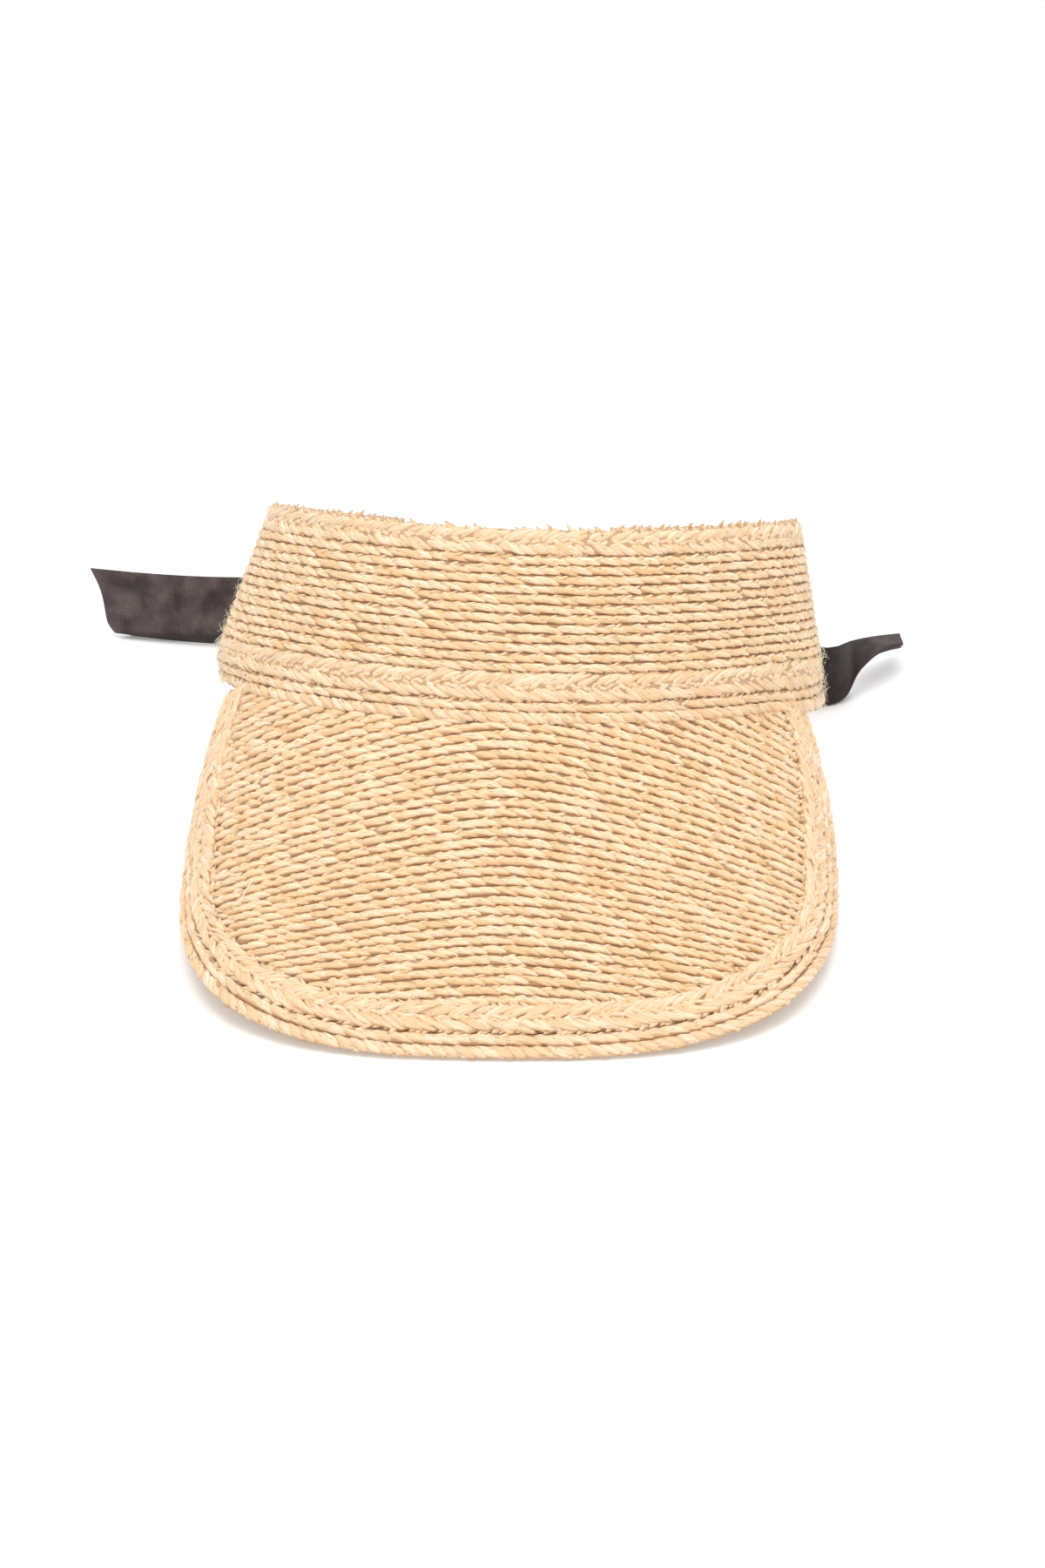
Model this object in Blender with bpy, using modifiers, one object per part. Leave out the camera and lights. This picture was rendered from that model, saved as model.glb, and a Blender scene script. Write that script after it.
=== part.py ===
"""Sun visor of sewn raffia braid, open at the back and closed by a ribbon tie.

The band is a tapered ring of stacked braid courses.  The brim is a crescent of
straight braid rows, edged by a border of three braids.  The visor lies on a
table: the front of the brim and the back ends of the band touch it.  +Z is up,
the brim points to -Y, and lengths are in metres.
"""

from math import asin, atan2, cos, hypot, pi, radians, sin

import bmesh
import bpy

# --- band: a tapered ring, wide side down -----------------------------------
BAND_HALF_WIDTH = 0.0930        # outer half width along X, at the lower edge
BAND_DEPTH_RATIO = 0.92         # front-to-back size over the width
BAND_TAPER = radians(15.1)      # wall's slope towards the crown
BAND_TILT = radians(15.5)       # the front is raised off the table
BAND_LEAN = radians(1.9)        # the right side is a little lower
BAND_SHIFT = 0.0040             # the upper rim sits this far to the right
BACK_SAG = 0.0179               # how far the soft back ends sink
RING_HEIGHT = 0.0393            # lower edge's centre above the table
END_LEFT = radians(-146)        # angle from the front, negative on the left
END_RIGHT = radians(163)

# --- braids, by height up the band's wall -----------------------------------
EDGE_ROPE = 0.0033
LOWER_ROPE = 0.0030
TRIM_BRAID = 0.0084
TOP_BRAID = 0.0072
BAND_COURSES = 12
COURSE_PITCH = 0.00278
WALL = 0.0026                   # thickness of the sewn braid
GAP = 0.0003                    # clearance between neighbouring solids
BAND_STATIONS = 36

# --- brim -------------------------------------------------------------------
BRIM_LENGTH = 0.1014            # along the middle, front edge to the band
BRIM_BEND = radians(5.2)        # steeper at the band than at the front edge
BRIM_ROOT = 0.0101              # the droop starts this far before the edge
BRIM_HALF_WIDTH = 0.0952
EAR_HALF_WIDTH = 0.0890         # outer half width where the border meets the band
ROUND_LENGTH = 0.0807           # length of the rounded front part
ROUND_POWER_S = 2.92
ROUND_POWER_X = 2.79
ROW_COUNT = 28                  # rows that cross the whole brim
ROW_PITCH = 0.0030
ROW_BOW = (0.08, 0.16)          # how much the first and the last rows bow forward at the sides
ROW_BOW_GROWS = (0.016, 0.076)
ROW_BOW_ROUND = 0.012
ROW_STATIONS = 13
SIDE_ROWS = 13                  # shorter rows on each side of the band
SIDE_STATIONS = 6
NARROWEST_SIDE_ROW = 0.003
SEAM_GAP = 0.0008

# --- border: seen width, and how far it curls down, front / side / ear ------
BORDER_FRONT = 0.0156
BORDER_SIDE = 0.0105
BORDER_EAR = 0.0080
BORDER_NARROWS = (0.010, 0.060) # along the brim, from the front width to the side's
EAR_STARTS = 0.085
EAR_INNER = EAR_HALF_WIDTH - BORDER_EAR
CURL_SIDE = 1.15                # radians
CURL_EAR = 0.50
CURL_START = 0.020
CURL_FULL = 0.070
FLAT_CURL = 1e-4                # keeps the curl's radius finite at the front
BORDER_STATIONS = 57
OUTLINE_STEPS = 120             # fine steps that the stations are spaced along
SIDE_STEPS = 40
BRAID_SHARE = 0.53              # of the border's width, from its inner edge
ROPE_SHARE = 0.76

# --- ribbon -----------------------------------------------------------------
RIBBON_WIDTH = 0.0250
RIBBON_THICK = 0.0012
SWEATBAND_THICK = 0.0008
SWEATBAND_INSET = 0.0036
SWEATBAND_LOW = 0.0020
SWEATBAND_MARGIN = radians(4)   # it stops this far short of the band's ends
TABLE = 0.0003                  # the ribbon's lower edge, before the last move
TIE_INSET = 0.0075              # the ties start this far inside the band's wall
TIE_BEHIND = 0.0030             # and meet the knot a little before its middle
TIE_BULGE = 0.0020
KNOT_CENTRE = (-0.0100, 0.0950)
KNOT_SIZE = (0.0150, 0.0120, 0.0236)
KNOT_CAGE = 1.2                 # a subdivided cube shrinks, so its cage is larger
KNOT_CLEARANCE = 0.0016
LEFT_HINGE = (-0.0190, 0.0975)
RIGHT_HINGE = (-0.0010, 0.0975)

STRAW = (0.80, 0.60, 0.36)
STRAW_PALE = (0.84, 0.65, 0.41)
RIBBON_DARK = (0.045, 0.038, 0.036)


# ---------------------------------------------------------------- scene setup

def clear_scene():
    for obj in list(bpy.data.objects):
        bpy.data.objects.remove(obj, do_unlink=True)


def make_collection(name):
    collection = bpy.data.collections.new(name)
    bpy.context.scene.collection.children.link(collection)
    return collection


def make_material(name, colour, roughness):
    material = bpy.data.materials.new(name)
    material.use_nodes = True
    shader = material.node_tree.nodes["Principled BSDF"]
    shader.inputs["Base Color"].default_value = (*colour, 1.0)
    shader.inputs["Roughness"].default_value = roughness
    shader.inputs["Metallic"].default_value = 0.0
    return material


# ------------------------------------------------------------- shape formulas

def smooth_step(value, low, high):
    t = min(max((value - low) / (high - low), 0.0), 1.0)
    return t * t * (3.0 - 2.0 * t)


def band_point(theta, height, inset=0.0):
    """Point on the band's outer wall: angle from the front, height up the wall."""
    radius = BAND_HALF_WIDTH - height * sin(BAND_TAPER) - inset
    side = radius * sin(theta)
    forward = radius * BAND_DEPTH_RATIO * cos(theta)
    rise = height * cos(BAND_TAPER) - BACK_SAG * ((1.0 - cos(theta)) / 2.0) ** 2
    shift = BAND_SHIFT * height / BAND_HEIGHT
    x = shift + side * cos(BAND_LEAN) + rise * sin(BAND_LEAN)
    up = rise * cos(BAND_LEAN) - side * sin(BAND_LEAN)
    y = -forward * cos(BAND_TILT) + up * sin(BAND_TILT)
    z = RING_HEIGHT + forward * sin(BAND_TILT) + up * cos(BAND_TILT)
    return (x, y, z)


BAND_HEIGHT = EDGE_ROPE + LOWER_ROPE + TRIM_BRAID + BAND_COURSES * COURSE_PITCH + TOP_BRAID
BEND_RATE = BRIM_BEND / BRIM_LENGTH
SEAM_FRONT = band_point(0.0, 0.0)
UNDERSIDE_DROP = WALL * 0.82    # the brim's front edge rests on its underside
BRIM_SLOPE = asin((SEAM_FRONT[2] - UNDERSIDE_DROP) / BRIM_LENGTH)
FRONT_SLOPE = BRIM_SLOPE - BRIM_BEND / 2.0
# centre of the circle that the brim's middle line follows, in the YZ plane
BEND_CENTRE = (
    SEAM_FRONT[1] - sin(FRONT_SLOPE + BRIM_BEND) / BEND_RATE,
    SEAM_FRONT[2] + cos(FRONT_SLOPE + BRIM_BEND) / BEND_RATE,
)


def to_brim(point):
    """Distance from the front edge and height over the middle line's surface."""
    away_y = BEND_CENTRE[0] - point[1]
    away_z = BEND_CENTRE[1] - point[2]
    slope = atan2(-away_y, away_z)
    return ((slope - FRONT_SLOPE) / BEND_RATE, 1.0 / BEND_RATE - hypot(away_y, away_z))


def seam(x):
    """Where the band's lower edge crosses this x, in the brim's coordinates."""
    return to_brim(band_point(asin(x / (BAND_HALF_WIDTH * cos(BAND_LEAN))), 0.0))


# the border stops where its inner edge meets the band
EAR_ALONG = min(seam(x)[0] for x in (EAR_INNER, -EAR_INNER)) - SEAM_GAP
DROOP_LIMIT = 0.088             # past this x the droop goes on at a steady rate
DROOP_STEP = 0.002


def droop_rate(x):
    inside = min(max(x, -DROOP_LIMIT), DROOP_LIMIT)
    along, height = seam(inside)
    rate = height / (along + BRIM_ROOT)
    if x == inside:
        return rate
    back = inside - DROOP_STEP if inside > 0 else inside + DROOP_STEP
    along, height = seam(back)
    return rate + (rate - height / (along + BRIM_ROOT)) / (inside - back) * (x - inside)


def brim_point(x, along, drop=0.0):
    """Point on the brim's upper face, x across and this far from the front edge."""
    slope = FRONT_SLOPE + BEND_RATE * along
    reach = 1.0 / BEND_RATE - droop_rate(x) * (along + BRIM_ROOT) + drop
    return (x, BEND_CENTRE[0] + reach * sin(slope), BEND_CENTRE[1] - reach * cos(slope))


def outline_half():
    """The brim's right outline from the front tip to the ear: (x, along) points."""
    points = []
    for step in range(OUTLINE_STEPS + 1):
        angle = step / OUTLINE_STEPS * pi / 2
        x = BRIM_HALF_WIDTH * sin(angle) ** (2 / ROUND_POWER_X)
        along = ROUND_LENGTH * (1.0 - abs(cos(angle)) ** (2 / ROUND_POWER_S))
        points.append((x, along))
    for step in range(1, SIDE_STEPS + 1):
        t = step / SIDE_STEPS
        x = BRIM_HALF_WIDTH - (BRIM_HALF_WIDTH - EAR_HALF_WIDTH) * t * t
        points.append((x, ROUND_LENGTH + (EAR_ALONG - ROUND_LENGTH) * t))
    return points


def resample(points, count):
    """The same polyline with evenly spaced points."""
    lengths = [0.0]
    for a, b in zip(points, points[1:]):
        lengths.append(lengths[-1] + hypot(b[0] - a[0], b[1] - a[1]))
    result = []
    segment = 0
    for i in range(count):
        target = lengths[-1] * i / (count - 1)
        while segment < len(points) - 2 and lengths[segment + 1] < target:
            segment += 1
        a, b = points[segment], points[segment + 1]
        t = (target - lengths[segment]) / (lengths[segment + 1] - lengths[segment])
        result.append((a[0] + (b[0] - a[0]) * t, a[1] + (b[1] - a[1]) * t))
    return result


def border_width(along):
    to_side = smooth_step(along, *BORDER_NARROWS)
    to_ear = smooth_step(along, EAR_STARTS, EAR_ALONG)
    return (BORDER_FRONT + (BORDER_SIDE - BORDER_FRONT) * to_side
            + (BORDER_EAR - BORDER_SIDE) * to_ear)


def border_curl(along):
    to_side = smooth_step(along, CURL_START, CURL_FULL)
    to_ear = smooth_step(along, EAR_STARTS, EAR_ALONG)
    return FLAT_CURL + CURL_SIDE * to_side + (CURL_EAR - CURL_SIDE) * to_ear


def border_frame():
    """Outline points with their inward directions, from left ear to right ear."""
    right = outline_half()
    whole = [(-x, along) for x, along in reversed(right[1:])] + right
    points = resample(whole, BORDER_STATIONS)
    frame = []
    for i, (x, along) in enumerate(points):
        before = points[max(i - 1, 0)]
        after = points[min(i + 1, len(points) - 1)]
        run = hypot(after[0] - before[0], after[1] - before[1])
        inward = ((before[1] - after[1]) / run, (after[0] - before[0]) / run)
        frame.append((x, along, inward))
    return frame


def border_point(station, share):
    """Point at this share of the border's width, 0 at its inner edge, 1 outside."""
    x, along, inward = station
    width = border_width(along)
    curl = border_curl(along)
    radius = width / sin(curl)
    offset = width - radius * sin(curl * share)
    drop = radius * (1.0 - cos(curl * share))
    return brim_point(x + inward[0] * offset, along + inward[1] * offset, drop)


def inner_edge():
    """The border's inner edge as (x, along), right half, front first."""
    half = [s for s in border_frame() if s[0] > -1e-6]
    return [(x + n[0] * border_width(a), a + n[1] * border_width(a)) for x, a, n in half]


INNER_EDGE = inner_edge()


def half_width_inside(along):
    """Half the brim's width inside the border, at this distance from the edge."""
    if along < INNER_EDGE[0][1]:
        return 0.0
    for a, b in zip(INNER_EDGE, INNER_EDGE[1:]):
        if a[1] <= along <= b[1]:
            return a[0] + (b[0] - a[0]) * (along - a[1]) / (b[1] - a[1])
    return INNER_EDGE[-1][0]


def row_along(x, along):
    """Distance from the front edge, at x, of a row's line that crosses x = 0 at along."""
    bow = ROW_BOW[0] + (ROW_BOW[1] - ROW_BOW[0]) * smooth_step(along, *ROW_BOW_GROWS)
    return along - bow * (hypot(x, ROW_BOW_ROUND) - ROW_BOW_ROUND)


def crossing(inside, high):
    """The x up to which inside(x) holds, by bisection."""
    low = 0.0
    for _ in range(40):
        middle = (low + high) / 2
        if inside(middle):
            low = middle
        else:
            high = middle
    return high


def row_reach(along):
    """The x at which a row's line meets the border's inner edge."""
    return crossing(lambda x: x < half_width_inside(row_along(x, along)), BRIM_HALF_WIDTH)


def seam_x(along, side):
    """The x at which a row's line comes out from under the band."""
    return crossing(lambda x: seam(side * x)[0] < row_along(x, along), DROOP_LIMIT)


# --------------------------------------------------------------- mesh makers

def sheet_object(name, rows, thickness, offset, material, collection):
    """A closed slab: a grid surface given thickness by Solidify."""
    mesh = bpy.data.meshes.new(name)
    bm = bmesh.new()
    grid = [[bm.verts.new(point) for point in row] for row in rows]
    for lower, upper in zip(grid, grid[1:]):
        for i in range(len(lower) - 1):
            bm.faces.new((lower[i], lower[i + 1], upper[i + 1], upper[i]))
    bm.to_mesh(mesh)
    bm.free()
    mesh.materials.append(material)
    obj = bpy.data.objects.new(name, mesh)
    collection.objects.link(obj)
    solidify = obj.modifiers.new("thickness", "SOLIDIFY")
    solidify.thickness = thickness
    solidify.offset = offset
    return obj


def band_strip(name, low, high, material, collection):
    angles = [END_LEFT + (END_RIGHT - END_LEFT) * i / (BAND_STATIONS - 1)
              for i in range(BAND_STATIONS)]
    rows = [[band_point(angle, height) for angle in angles] for height in (low, high)]
    return sheet_object(name, rows, WALL, -1.0, material, collection)


def build_band(straw, pale, collection):
    parts = []
    low = 0.0
    for name, height in (("band_edge_rope", EDGE_ROPE), ("band_lower_rope", LOWER_ROPE),
                         ("band_trim_braid", TRIM_BRAID)):
        parts.append(band_strip(name, low, low + height - GAP, pale, collection))
        low += height
    for number in range(BAND_COURSES, 0, -1):
        name = f"band_course_{number:02d}"
        parts.append(band_strip(name, low, low + COURSE_PITCH - GAP, straw, collection))
        low += COURSE_PITCH
    parts.append(band_strip("band_top_braid", low, low + TOP_BRAID, pale, collection))
    return parts


def build_sweatband(material, collection):
    stations = BAND_STATIONS - 6
    start = END_LEFT + SWEATBAND_MARGIN
    sweep = END_RIGHT - SWEATBAND_MARGIN - start
    angles = [start + sweep * i / (stations - 1) for i in range(stations)]
    rows = [[band_point(angle, height, SWEATBAND_INSET) for angle in angles]
            for height in (SWEATBAND_LOW, SWEATBAND_LOW + RIBBON_WIDTH)]
    return sheet_object("sweatband", rows, SWEATBAND_THICK, -1.0, material, collection)


def build_rows(material, collection):
    parts = []
    for number in range(ROW_COUNT):
        near = BORDER_FRONT + GAP + number * ROW_PITCH
        rows = []
        for along in (near, near + ROW_PITCH - GAP):
            reach = row_reach(along) - 2 * GAP
            xs = [reach * (2 * i / (ROW_STATIONS - 1) - 1) for i in range(ROW_STATIONS)]
            rows.append([brim_point(x, row_along(x, along)) for x in xs])
        name = f"brim_row_{number + 1:02d}"
        parts.append(sheet_object(name, rows, WALL, -1.0, material, collection))
    return parts


def build_side_rows(side, name, material, collection):
    start = BORDER_FRONT + GAP + ROW_COUNT * ROW_PITCH + SEAM_GAP
    rows = []
    for number in range(SIDE_ROWS + 1):
        along = start + number * ROW_PITCH
        inner = seam_x(along + SEAM_GAP, side) + SEAM_GAP
        outer = row_reach(along) - 2 * GAP
        if outer - inner < NARROWEST_SIDE_ROW:
            break
        xs = [side * (inner + (outer - inner) * i / (SIDE_STATIONS - 1))
              for i in range(SIDE_STATIONS)]
        if side < 0:
            xs.reverse()
        rows.append([brim_point(x, row_along(x, along)) for x in xs])
    return sheet_object(name, rows, WALL, -1.0, material, collection)


def build_border(material, collection):
    frame = border_frame()
    shares = (("brim_border_braid", 0.0, BRAID_SHARE),
              ("brim_border_rope", BRAID_SHARE, ROPE_SHARE),
              ("brim_edge_rope", ROPE_SHARE, 1.0))
    parts = []
    clearance = GAP / BORDER_SIDE
    for name, inner, outer in shares:
        rows = [[border_point(station, share) for station in frame]
                for share in (outer, inner + clearance)]
        parts.append(sheet_object(name, rows, WALL, -1.0, material, collection))
    return parts


# ------------------------------------------------------------------- ribbons

def smooth_path(points, steps):
    """A smooth curve through the points (Catmull-Rom), steps pieces per span."""
    ends = [points[0]] + list(points) + [points[-1]]
    result = []
    for p0, p1, p2, p3 in zip(ends, ends[1:], ends[2:], ends[3:]):
        for i in range(steps):
            t = i / steps
            result.append(tuple(
                0.5 * (2 * b + (c - a) * t + (2 * a - 5 * b + 4 * c - d) * t * t
                       + (3 * b - a - 3 * c + d) * t ** 3)
                for a, b, c, d in zip(p0, p1, p2, p3)))
    result.append(tuple(points[-1]))
    return result


def ribbon_strip(name, route, steps, material, collection):
    """A ribbon whose route is a list of its lower and upper edge's points."""
    path = smooth_path([(*lower, *upper) for lower, upper in route], steps)
    rows = [[point[:3] for point in path], [point[3:] for point in path]]
    return sheet_object(name, rows, RIBBON_THICK, 0.0, material, collection)


def build_knot(material, collection):
    bpy.ops.mesh.primitive_cube_add(size=1.0)
    knot = bpy.context.active_object
    knot.name = "tie_knot"
    knot.data.name = "tie_knot"
    bm = bmesh.new()
    bm.from_mesh(knot.data)
    bmesh.ops.scale(bm, vec=[size * KNOT_CAGE for size in KNOT_SIZE], verts=bm.verts)
    bm.to_mesh(knot.data)
    bm.free()
    knot.location = (*KNOT_CENTRE, TABLE + RIBBON_WIDTH / 2)
    knot.data.materials.append(material)
    rounding = knot.modifiers.new("rounding", "SUBSURF")
    rounding.levels = 2
    rounding.render_levels = 2
    for other in list(knot.users_collection):
        other.objects.unlink(knot)
    collection.objects.link(knot)
    return knot


def tie_route(end_angle, knot_side):
    """From the sweatband's end, inside the band, to the knot's side."""
    start = [band_point(end_angle, height, TIE_INSET)
             for height in (SWEATBAND_LOW, SWEATBAND_LOW + RIBBON_WIDTH)]
    x = KNOT_CENTRE[0] + knot_side * (KNOT_SIZE[0] / 2 + KNOT_CLEARANCE)
    y = KNOT_CENTRE[1] - TIE_BEHIND
    end = [(x, y, TABLE), (x, y, TABLE + RIBBON_WIDTH)]
    middle = [tuple((a + b) / 2 + c for a, b, c in zip(p, q, (0.0, TIE_BULGE, 0.0)))
              for p, q in zip(start, end)]
    return [start, middle, end]


def upright(x, y, low=0.0, width=RIBBON_WIDTH, lean=(0.0, 0.0)):
    """A route point of a ribbon on edge; lean moves its upper edge over."""
    rise = (width ** 2 - lean[0] ** 2 - lean[1] ** 2) ** 0.5
    low += TABLE
    return ((x, y, low), (x + lean[0], y + lean[1], low + rise))


LEFT_TAIL_ROUTE = [
    upright(*LEFT_HINGE),
    upright(-0.045, 0.1010),
    upright(-0.075, 0.1032, lean=(0.0, 0.0016)),
    upright(-0.105, 0.1048, lean=(0.0, 0.0010)),
    upright(-0.130, 0.1068),
    upright(-0.1400, 0.1080, lean=(-0.006, 0.0)),
]

RIGHT_TAIL_ROUTE = [
    upright(*RIGHT_HINGE),
    upright(0.030, 0.0965),
    upright(0.062, 0.0830),
    upright(0.084, 0.0645),
    upright(0.0985, 0.0560, low=0.0006, width=0.0240),
    upright(0.1075, 0.0600, low=0.0040, width=0.0200, lean=(0.002, 0.004)),
    upright(0.1150, 0.0700, low=0.0095, width=0.0150, lean=(0.002, 0.010)),
    upright(0.1235, 0.0830, low=0.0120, width=0.0125, lean=(-0.001, 0.011)),
]


def build_ties(material, collection):
    return [
        ribbon_strip("left_tie", tie_route(END_LEFT, -1), 6, material, collection),
        ribbon_strip("right_tie", tie_route(END_RIGHT, 1), 6, material, collection),
        build_knot(material, collection),
    ]


def build_tail(name, route, steps, hinge, material, collection):
    """A free ribbon end, under an empty on the upright axis that it swings about."""
    tail = ribbon_strip(name, route, steps, material, collection)
    axis = bpy.data.objects.new(f"{name}_hinge", None)
    collection.objects.link(axis)
    axis.location = (*hinge, 0.0)
    tail.parent = axis
    tail.location = (-hinge[0], -hinge[1], 0.0)
    return tail


def rest_on_origin(parts, base):
    """Move the base so that the visor stands on z = 0, centred over the origin."""
    depsgraph = bpy.context.evaluated_depsgraph_get()
    low = [1e9] * 3
    high = [-1e9] * 3
    for obj in parts:
        shape = obj.evaluated_get(depsgraph)
        for vertex in shape.data.vertices:
            place = shape.matrix_world @ vertex.co
            for k in range(3):
                low[k] = min(low[k], place[k])
                high[k] = max(high[k], place[k])
    base.location = (-(low[0] + high[0]) / 2, -(low[1] + high[1]) / 2, -low[2])


def main():
    clear_scene()
    collection = make_collection("raffia_sun_visor")
    straw = make_material("raffia_straw", STRAW, 0.75)
    pale = make_material("raffia_trim", STRAW_PALE, 0.75)
    ribbon = make_material("ribbon_fabric", RIBBON_DARK, 0.9)
    parts = build_band(straw, pale, collection)
    parts.append(build_sweatband(ribbon, collection))
    parts += build_rows(straw, collection)
    parts.append(build_side_rows(-1, "brim_side_rows_left", straw, collection))
    parts.append(build_side_rows(1, "brim_side_rows_right", straw, collection))
    parts += build_border(pale, collection)
    parts += build_ties(ribbon, collection)
    tails = [
        build_tail("left_tail", LEFT_TAIL_ROUTE, 3, LEFT_HINGE, ribbon, collection),
        build_tail("right_tail", RIGHT_TAIL_ROUTE, 4, RIGHT_HINGE, ribbon, collection),
    ]
    base = bpy.data.objects.new("visor_base", None)
    collection.objects.link(base)
    for obj in parts + [tail.parent for tail in tails]:
        obj.parent = base
    bpy.context.view_layer.update()
    rest_on_origin(parts + tails, base)
    bpy.context.view_layer.update()


main()
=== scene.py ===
"""Looks of the raffia sun visor: plaited raffia, dark ribbon, camera and light.

Every plait is made of lobes, the almond-shaped stretches of a strand between two
crossings.  A lobe is laid out in its strip's own coordinates (along, across, out
of the surface), and the strip's chart puts it in the CAD frame.  Metres, +Z up.
"""

from math import asin, cos, pi, radians, sin

import bpy
import numpy as np
from mathutils import Matrix, Vector


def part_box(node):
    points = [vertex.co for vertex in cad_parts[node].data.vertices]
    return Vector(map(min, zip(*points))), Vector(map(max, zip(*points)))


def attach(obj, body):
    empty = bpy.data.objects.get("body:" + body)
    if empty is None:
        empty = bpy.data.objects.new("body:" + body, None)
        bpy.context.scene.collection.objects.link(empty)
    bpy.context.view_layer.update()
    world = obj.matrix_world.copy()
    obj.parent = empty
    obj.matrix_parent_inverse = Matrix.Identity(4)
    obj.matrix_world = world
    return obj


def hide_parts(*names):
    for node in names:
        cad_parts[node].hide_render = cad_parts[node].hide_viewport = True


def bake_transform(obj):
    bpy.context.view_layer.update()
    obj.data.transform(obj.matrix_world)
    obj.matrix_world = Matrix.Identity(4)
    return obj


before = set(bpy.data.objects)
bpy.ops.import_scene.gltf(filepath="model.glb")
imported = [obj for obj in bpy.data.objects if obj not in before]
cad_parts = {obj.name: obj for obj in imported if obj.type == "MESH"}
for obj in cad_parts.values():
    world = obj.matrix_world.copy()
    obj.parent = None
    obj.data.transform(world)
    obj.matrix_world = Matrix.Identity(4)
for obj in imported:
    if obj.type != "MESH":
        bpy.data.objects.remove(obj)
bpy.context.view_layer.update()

# --- the design's driving dimensions, as in the CAD -------------------------
BAND_HALF_WIDTH = 0.0930
BAND_DEPTH_RATIO = 0.92
BAND_TAPER = radians(15.1)
BAND_TILT = radians(15.5)
BAND_LEAN = radians(1.9)
BAND_SHIFT = 0.0040
BACK_SAG = 0.0179
RING_HEIGHT = 0.0393
END_LEFT = radians(-146)
END_RIGHT = radians(163)
EDGE_ROPE = 0.0033
LOWER_ROPE = 0.0030
TRIM_BRAID = 0.0084
TOP_BRAID = 0.0072
BAND_COURSES = 12
COURSE_PITCH = 0.00278
WALL = 0.0026
GAP = 0.0003
BRIM_LENGTH = 0.1014
BRIM_BEND = radians(5.2)
BRIM_ROOT = 0.0101
BRIM_HALF_WIDTH = 0.0952
EAR_HALF_WIDTH = 0.0890
ROUND_LENGTH = 0.0807
ROUND_POWER_S = 2.92
ROUND_POWER_X = 2.79
ROW_COUNT = 28
ROW_PITCH = 0.0030
SIDE_ROWS = 13
ROW_BOW = (0.08, 0.16)
ROW_BOW_GROWS = (0.016, 0.076)
ROW_BOW_ROUND = 0.012
BORDER_FRONT = 0.0156
BORDER_SIDE = 0.0105
BORDER_EAR = 0.0080
BORDER_NARROWS = (0.010, 0.060)
EAR_STARTS = 0.085
CURL_SIDE = 1.15
CURL_EAR = 0.50
CURL_START = 0.020
CURL_FULL = 0.070
FLAT_CURL = 1e-4
BRAID_SHARE = 0.53
ROPE_SHARE = 0.76
SEAM_GAP = 0.0008
RIBBON_WIDTH = 0.0250
RIBBON_THICK = 0.0007
SWEATBAND_INSET = 0.0036
SWEATBAND_LOW = 0.0020
SWEATBAND_MARGIN = radians(4)
TABLE = 0.0003
TIE_INSET = 0.0075
TIE_BEHIND = 0.0030
TIE_BULGE = 0.0020
KNOT_CENTRE = (-0.0100, 0.0950)
KNOT_HALF_WIDTH = 0.0075
KNOT_CLEARANCE = 0.0016

# the CAD stands the visor on z = 0 over the origin, so its charts are moved there
KNOT_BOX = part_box("tie_knot")
BASE = np.array([(KNOT_BOX[0][0] + KNOT_BOX[1][0]) / 2 - KNOT_CENTRE[0],
                 (KNOT_BOX[0][1] + KNOT_BOX[1][1]) / 2 - KNOT_CENTRE[1],
                 (KNOT_BOX[0][2] + KNOT_BOX[1][2]) / 2 - TABLE - RIBBON_WIDTH / 2])

rng = np.random.default_rng(20)


# ------------------------------------------------------------------- charts

def smooth_step(value, low, high):
    t = np.clip((value - low) / (high - low), 0.0, 1.0)
    return t * t * (3.0 - 2.0 * t)


def stack(*parts):
    return np.stack(np.broadcast_arrays(*parts), axis=-1)


BAND_HEIGHT = EDGE_ROPE + LOWER_ROPE + TRIM_BRAID + BAND_COURSES * COURSE_PITCH + TOP_BRAID


def band_raw(theta, height, inset=0.0):
    """The band's outer wall: angle from the front, height up the wall."""
    radius = BAND_HALF_WIDTH - height * sin(BAND_TAPER) - inset
    side = radius * np.sin(theta)
    forward = radius * BAND_DEPTH_RATIO * np.cos(theta)
    rise = height * cos(BAND_TAPER) - BACK_SAG * ((1.0 - np.cos(theta)) / 2.0) ** 2
    x = BAND_SHIFT * height / BAND_HEIGHT + side * cos(BAND_LEAN) + rise * sin(BAND_LEAN)
    up = rise * cos(BAND_LEAN) - side * sin(BAND_LEAN)
    y = -forward * cos(BAND_TILT) + up * sin(BAND_TILT)
    z = RING_HEIGHT + forward * sin(BAND_TILT) + up * cos(BAND_TILT)
    return stack(x, y, z)


BEND_RATE = BRIM_BEND / BRIM_LENGTH
SEAM_FRONT = band_raw(0.0, 0.0)
BRIM_SLOPE = asin((SEAM_FRONT[2] - WALL * 0.82) / BRIM_LENGTH)
FRONT_SLOPE = BRIM_SLOPE - BRIM_BEND / 2.0
BEND_Y = SEAM_FRONT[1] - sin(FRONT_SLOPE + BRIM_BEND) / BEND_RATE
BEND_Z = SEAM_FRONT[2] + cos(FRONT_SLOPE + BRIM_BEND) / BEND_RATE


def seam(x):
    """Where the band's lower edge crosses this x, in the brim's coordinates."""
    angle = np.arcsin(np.asarray(x) / (BAND_HALF_WIDTH * cos(BAND_LEAN)))
    point = band_raw(angle, 0.0)
    away_y = BEND_Y - point[..., 1]
    away_z = BEND_Z - point[..., 2]
    slope = np.arctan2(-away_y, away_z)
    return (slope - FRONT_SLOPE) / BEND_RATE, 1.0 / BEND_RATE - np.hypot(away_y, away_z)


EAR_INNER = EAR_HALF_WIDTH - BORDER_EAR
EAR_ALONG = min(float(seam(x)[0]) for x in (EAR_INNER, -EAR_INNER)) - SEAM_GAP
DROOP_LIMIT = 0.088
DROOP_STEP = 0.002


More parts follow.
